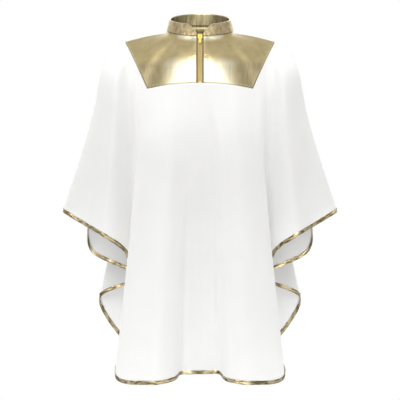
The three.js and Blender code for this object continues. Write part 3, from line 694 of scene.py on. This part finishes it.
def cord_tree(name):
    """A round cord along the path."""
    tree, graph, named, given, sink = new_tree(name, ("Radius",))
    curve = graph.node("GeometryNodeMeshToCurve", inputs={"Mesh": given["Path"]})
    section = {"Resolution": 8, "Radius": given["Radius"]}
    ring = graph.node("GeometryNodeCurvePrimitiveCircle", inputs=section)
    inputs = {"Curve": curve, "Profile Curve": ring, "Fill Caps": True}
    close_tree(graph, sink, graph.node("GeometryNodeCurveToMesh", inputs=inputs), given["Finish"])
    return tree, named


def laid_along(name, routes, made_tree, finish, **sizes):
    """An object whose mesh is the tree's result along the routes."""
    tree, named = made_tree
    piece = add_object(name, path_mesh(name, routes), None)
    modifier = piece.modifiers.new("row", "NODES")
    modifier.node_group = tree
    for size, value in sizes.items():
        modifier[named[size]] = value
    modifier[named["Finish"]] = finish
    return bake(piece)


# ------------------------------------------------------------------------ camera and room

CAMERA_DISTANCE = 2.2
CAMERA_HEIGHT = -0.397
CAMERA_LENS = 84.26

FLOOR_RADIUS = 1.45
FLOOR_HEIGHT = -1.26
FLOOR_SIDES = 96

# The even room that lights the cloth, and the greyer one with windows that the gold reflects.
ROOM_LIGHT = 1.32
ROOM_LOW_LIGHT = 0.1
ROOM_GREY = 0.6
WINDOW_LIGHT = 1.9
WINDOW_HALF_WIDTH = math.radians(38)
WINDOW_LOW = math.radians(-8)
WINDOW_HIGH = math.radians(46)
WINDOW_BLUR = math.radians(2.5)
BACK_WINDOW_LIGHT = 1.2


def add_camera():
    data = bpy.data.cameras.new("camera")
    data.sensor_width = 36.0
    data.lens = CAMERA_LENS
    data.clip_end = 60.0
    camera = bpy.data.objects.new("camera", data)
    camera.location = (0, -CAMERA_DISTANCE, CAMERA_HEIGHT)
    camera.rotation_euler = (math.pi / 2, 0, 0)
    bpy.context.scene.collection.objects.link(camera)
    bpy.context.scene.camera = camera


def add_floor():
    angles = np.linspace(0, 2 * math.pi, FLOOR_SIDES, endpoint=False)
    rim = [(FLOOR_RADIUS * math.cos(a), FLOOR_RADIUS * math.sin(a), FLOOR_HEIGHT) for a in angles]
    mesh = bpy.data.meshes.new("floor")
    mesh.from_pydata(rim, [], [list(range(len(rim)))])
    pale = Finish("pale_floor", Roughness=0.9)
    tone = pale.mix(pale.noise(pale.place(), 3.0), (0.5, 0.5, 0.5), (0.54, 0.54, 0.54))
    add_object("floor", mesh, pale.set(Base_Color=tone))


def add_world():
    """White to the eye, an even white room for the cloth, and for the reflections in the gold
    a greyer room with a broad window in front and another behind."""
    world = bpy.data.worlds.new("studio")
    bpy.context.scene.world = world
    world.use_nodes = True
    world.node_tree.nodes.clear()
    room = Graph(world.node_tree)
    rays = room.node("ShaderNodeLightPath").socket.node.outputs
    camera_ray = Wire(room, rays["Is Camera Ray"])
    glossy_ray = Wire(room, rays["Is Glossy Ray"])
    x, y, z = room.split(room.node("ShaderNodeTexCoord", output="Generated"))
    azimuth = x.maths("ABSOLUTE").maths("ARCTAN2", 0.0 - y)
    elevation = z.maths("ARCSINE")
    wide, low, high, blur = WINDOW_HALF_WIDTH, WINDOW_LOW, WINDOW_HIGH, WINDOW_BLUR
    across = room.spread(azimuth, wide - blur, wide + blur, 1.0, 0.0)
    above = room.spread(elevation, low - blur, low + blur)
    below = room.spread(elevation, high - blur, high + blur, 1.0, 0.0)
    window = across * above * below
    behind = room.spread(azimuth, 2.3, 2.6) * room.spread(elevation, 0.1, 0.2)
    behind = behind * room.spread(elevation, 0.7, 0.8, 1.0, 0.0)
    gleam = ROOM_GREY + window * WINDOW_LIGHT + behind * BACK_WINDOW_LIGHT
    even = room.spread(elevation, -0.9, 0.5, ROOM_LOW_LIGHT, ROOM_LIGHT)
    light = glossy_ray * gleam + (1 - glossy_ray) * even
    strength = camera_ray + (1 - camera_ray) * light
    inputs = {"Color": (1, 1, 1, 1), "Strength": strength}
    back = room.node("ShaderNodeBackground", inputs=inputs)
    output = world.node_tree.nodes.new("ShaderNodeOutputWorld")
    world.node_tree.links.new(back.socket, output.inputs["Surface"])


def add_softbox(name, place, aim, width, height, watts):
    data = bpy.data.lights.new(name, "AREA")
    data.shape = "RECTANGLE"
    data.size, data.size_y, data.energy = width, height, watts
    light = bpy.data.objects.new(name, data)
    light.location = place
    direction = np.array(aim, dtype=float) - np.array(place, dtype=float)
    light.rotation_euler = Vector(direction).to_track_quat("-Z", "Y").to_euler()
    bpy.context.scene.collection.objects.link(light)


def add_lights():
    add_softbox("key_softbox", (-0.4, -3.1, 2.3), (0, 0, -0.3), 1.8, 1.8, 94)


# ----------------------------------------------------------------------------- the cloth


def left_part(half, rows, folds):
    """The stretch of the left half between two rows and between two folds."""
    (first_row, last_row), (first, last) = rows, map(column_of, folds)
    return half[first_row:last_row + 1, first:last + 1]


def both_parts(half, rows, folds):
    """The same stretch with its mirror image, joined at the centre front or the centre back."""
    side = left_part(half, rows, folds)
    flipped = mirrored(side)[:, ::-1]
    if folds[1] == "centre_back":
        return np.concatenate([side, flipped[:, 1:]], axis=1)
    return np.concatenate([flipped, side], axis=1)


def make_sheet_piece(name, grid, ply, finish, slot, nodes, **sheet_facts):
    """A sheet of cloth on its middle surface, which stands for the named CAD nodes."""
    piece = add_object(name, grid_mesh(name, grid), finish)
    bake(thicken(piece, ply))
    finish_piece(piece, "garment", nodes)
    return piece


def make_bindings(grid, cuts, foil):
    """The foil strips round one sheet's hem, cut where its panels meet."""
    strip = binding_rings(grid)
    for node, first, last in cuts:
        mesh = grid_mesh(node, strip[:, first:last + 1])
        finish_piece(add_object(f"{node}_foil", mesh, foil), "garment", [node])
        flat = (float(np.linalg.norm(np.diff(grid[-1, first:last + 1], axis=0), axis=1).sum()), BINDING_CUT)


def make_white_cloth(half, crepe, foil):
    rows = (YOKE_ROWS, YOKE_ROWS + CLOTH_ROWS)
    front = hung(both_parts(half, rows, ("placket", "overarm")))
    back = both_parts(half, rows, ("overarm", "centre_back"))
    wing_columns = column_of("overarm") - column_of("front_edge")
    back_columns = column_of("back_edge") - column_of("overarm")
    front_end, back_end = front.shape[1] - 1, back.shape[1] - 1
    front_cuts = [
        ("wing_front_binding_right", 0, wing_columns),
        ("front_hem_binding", wing_columns, front_end - wing_columns),
        ("wing_front_binding_left", front_end - wing_columns, front_end),
    ]
    back_cuts = [
        ("wing_back_binding_left", 0, back_columns),
        ("back_hem_binding", back_columns, back_end - back_columns),
        ("wing_back_binding_right", back_end - back_columns, back_end),
    ]
    make_sheet_piece("front_cloth", front, CLOTH_PLY, crepe, "white_cloth",
                     ["front_panel", "wing_front_left", "wing_front_right"],
                     flat=FRONT_CLOTH_FLAT, area=FRONT_CLOTH_AREA, held="hung", rests_on=[])
    make_bindings(front, front_cuts, foil)
    make_sheet_piece("back_cloth", back, CLOTH_PLY, crepe, "white_cloth",
                     ["back_panel", "wing_back_left", "wing_back_right"],
                     flat=BACK_CLOTH_FLAT, area=BACK_CLOTH_AREA, held="hung", rests_on=[])
    make_bindings(back, back_cuts, foil)


def make_yoke(half, lame, inside):
    rows = (0, YOKE_ROWS)
    left = left_part(half, rows, ("placket", "overarm"))
    for side, grid in (("left", left), ("right", mirrored(left)[:, ::-1])):
        make_sheet_piece(f"yoke_front_{side}_lame", grid, YOKE_PLY, lame, "gold_lame", [f"yoke_front_{side}"],
                         flat=YOKE_FRONT_FLAT, held="stretched", rests_on=[])
    grid = both_parts(half, rows, ("overarm", "centre_back"))
    make_sheet_piece("yoke_back_lame", grid, YOKE_PLY, lame, "gold_lame", ["yoke_back"],
                     flat=YOKE_BACK_FLAT, held="stretched", rests_on=[])
    facing = (grid - grid_normals(grid) * FACING_DEPTH)[:FACING_ROWS + 1]
    make_sheet_piece("back_neck_facing_lame", facing, FACING_PLY, inside, "gold_lame", ["back_neck_facing"],
                     flat=FACING_FLAT, held="stretched", rests_on=["yoke_back_lame"])


def binding_rings(grid):
    """The foil strip folded over the hem, as a flattened loop section swept along it."""
    hem = grid[-1]
    normals = grid_normals(grid)[-1]
    tangent = unit(np.gradient(hem, axis=0))
    up = unit(np.cross(normals, tangent))
    down = grid[-1] - grid[-3]
    up *= -np.sign(np.sum(up * down, axis=1, keepdims=True))
    half_thick = CLOTH_PLY / 2 + BINDING_OUT
    rings = []
    for angle in np.linspace(0, 2 * math.pi, BINDING_SIDES, endpoint=False):
        bulge = abs(math.sin(angle)) ** BINDING_SQUARENESS
        out = half_thick * math.copysign(bulge, math.sin(angle))
        rise = BINDING_WIDTH * (0.5 - 0.55 * math.cos(angle))
        rings.append(hem + normals * out + up * rise)
    return np.array([*rings, rings[0]])


# ------------------------------------------------------------------------------- collar


def collar_height(angles):
    short = np.clip((COLLAR_CORNER - angles) / (COLLAR_CORNER - FRONT_ANGLE), 0, 1)
    return COLLAR_FRONT_HEIGHT + (1 - COLLAR_FRONT_HEIGHT) * (1 - short**2)


def collar_half_angles():
    """From the zip to the centre back, closest together at the zip."""
    turns = np.cos(np.linspace(0, math.pi / 2, 24, endpoint=False))
    corner = COLLAR_CORNER - (COLLAR_CORNER - FRONT_ANGLE) * turns
    return np.concatenate([corner, np.linspace(COLLAR_CORNER, math.pi, 90)])


def collar_grid():
    angles = collar_half_angles()
    seam, top = neck_seam(angles), collar_top(angles)
    shares = np.linspace(0, 1, COLLAR_ROWS)[:, None] * collar_height(angles)[None, :]
    half = seam + (top - seam) * shares[..., None]
    return np.concatenate([half, mirrored(half)[:, ::-1][:, 1:]], axis=1)[::-1]


def make_collar(outside, inside):
    grid = collar_grid()
    out = grid_normals(grid) * COLLAR_PLY_OFFSET
    for name, ply, lame in (("collar_outer", grid + out, outside), ("collar_lining", grid - out, inside)):
        make_sheet_piece(f"{name}_lame", ply, COLLAR_PLY, lame, "gold_lame", [name],
                         flat=COLLAR_FLAT, held="stretched", rests_on=["yoke_back_lame"])


def finish_zip():
    """The zip's own solids, in their finishes."""
    finishes = {
        "zip_tape_left": woven_tape, "zip_tape_right": woven_tape,
        "zip_teeth_left": rose_brass, "zip_teeth_right": rose_brass,
        "zip_top_stop_left": rose_brass, "zip_top_stop_right": rose_brass, "zip_bottom_stop": rose_brass,
        "zip_slider": yellow_gold, "zip_pull": yellow_gold,
    }
    made = {}
    for node, finish in finishes.items():
        if finish not in made:
            made[finish] = finish()
        mesh = bpy.data.objects[node].data
        mesh.materials.clear()
        mesh.materials.append(made[finish])


def pale_thread():
    finish = Finish("pale_thread", Roughness=0.5)
    fleck = finish.noise(finish.place(), 2500.0, 1.0)
    return finish.set(Base_Color=finish.mix(fleck, (0.62, 0.53, 0.33), (0.86, 0.8, 0.62)))


def painted_highlight_edge():
    """Where the lame is rolled over the collar's edge: coloured pale cream as a painted highlight along the
    edge.
    """
    finish = Finish("painted_highlight_edge", Metallic=0.75, Roughness=0.3)
    fleck = finish.noise(finish.place(), 300.0, 2.0)
    return finish.set(Base_Color=finish.mix(fleck, (0.72, 0.65, 0.47), (0.95, 0.92, 0.82)))


def add_collar_edge():
    route, tree = collar_grid()[0], cord_tree("rolled_edge")
    # The rolled edge carries the painted highlight.
    edge = laid_along("collar_rolled_edge", [route], tree, painted_highlight_edge(), Radius=ROLLED_EDGE_RADIUS)
    finish_piece(edge, "garment")


def add_stitches(half):
    """Topstitching beside the zip, and along the hem and sides of the yoke."""
    sizes = {"Pitch": 3.2 * MM, "Long": 2.4 * MM, "Wide": 0.8 * MM, "Thick": 0.7 * MM}
    zip_side = half[2:YOKE_ROWS - 1, :column_of("front_edge")]
    beside = (zip_side + grid_normals(zip_side) * STITCH_OUT)[:, 1]
    above_hem = (half + grid_normals(half) * STITCH_OUT)[YOKE_ROWS - 1]
    front, back = above_hem[1:column_of("overarm")], above_hem[column_of("overarm"):]
    routes = [beside, mirrored(beside), front, mirrored(front), back, mirrored(back)]
    stitches = laid_along("yoke_topstitching", routes, stitch_tree("stitch_row"), pale_thread(), **sizes)
    finish_piece(stitches, "garment")


add_camera()
add_floor()
add_world()
add_lights()
crepe, lame, foil = white_crepe(), gold_lame(), foil_binding()
drape = drape_half()
make_white_cloth(drape, crepe, foil)
# The inside finish is painted dark as painted shade inside the collar and neck.
inside = shaded_lining_lame()
make_yoke(drape, lame, inside)
make_collar(collar_lame(), inside)
finish_zip()
add_collar_edge()
add_stitches(drape)

bpy.context.scene.view_settings.view_transform = "Standard"
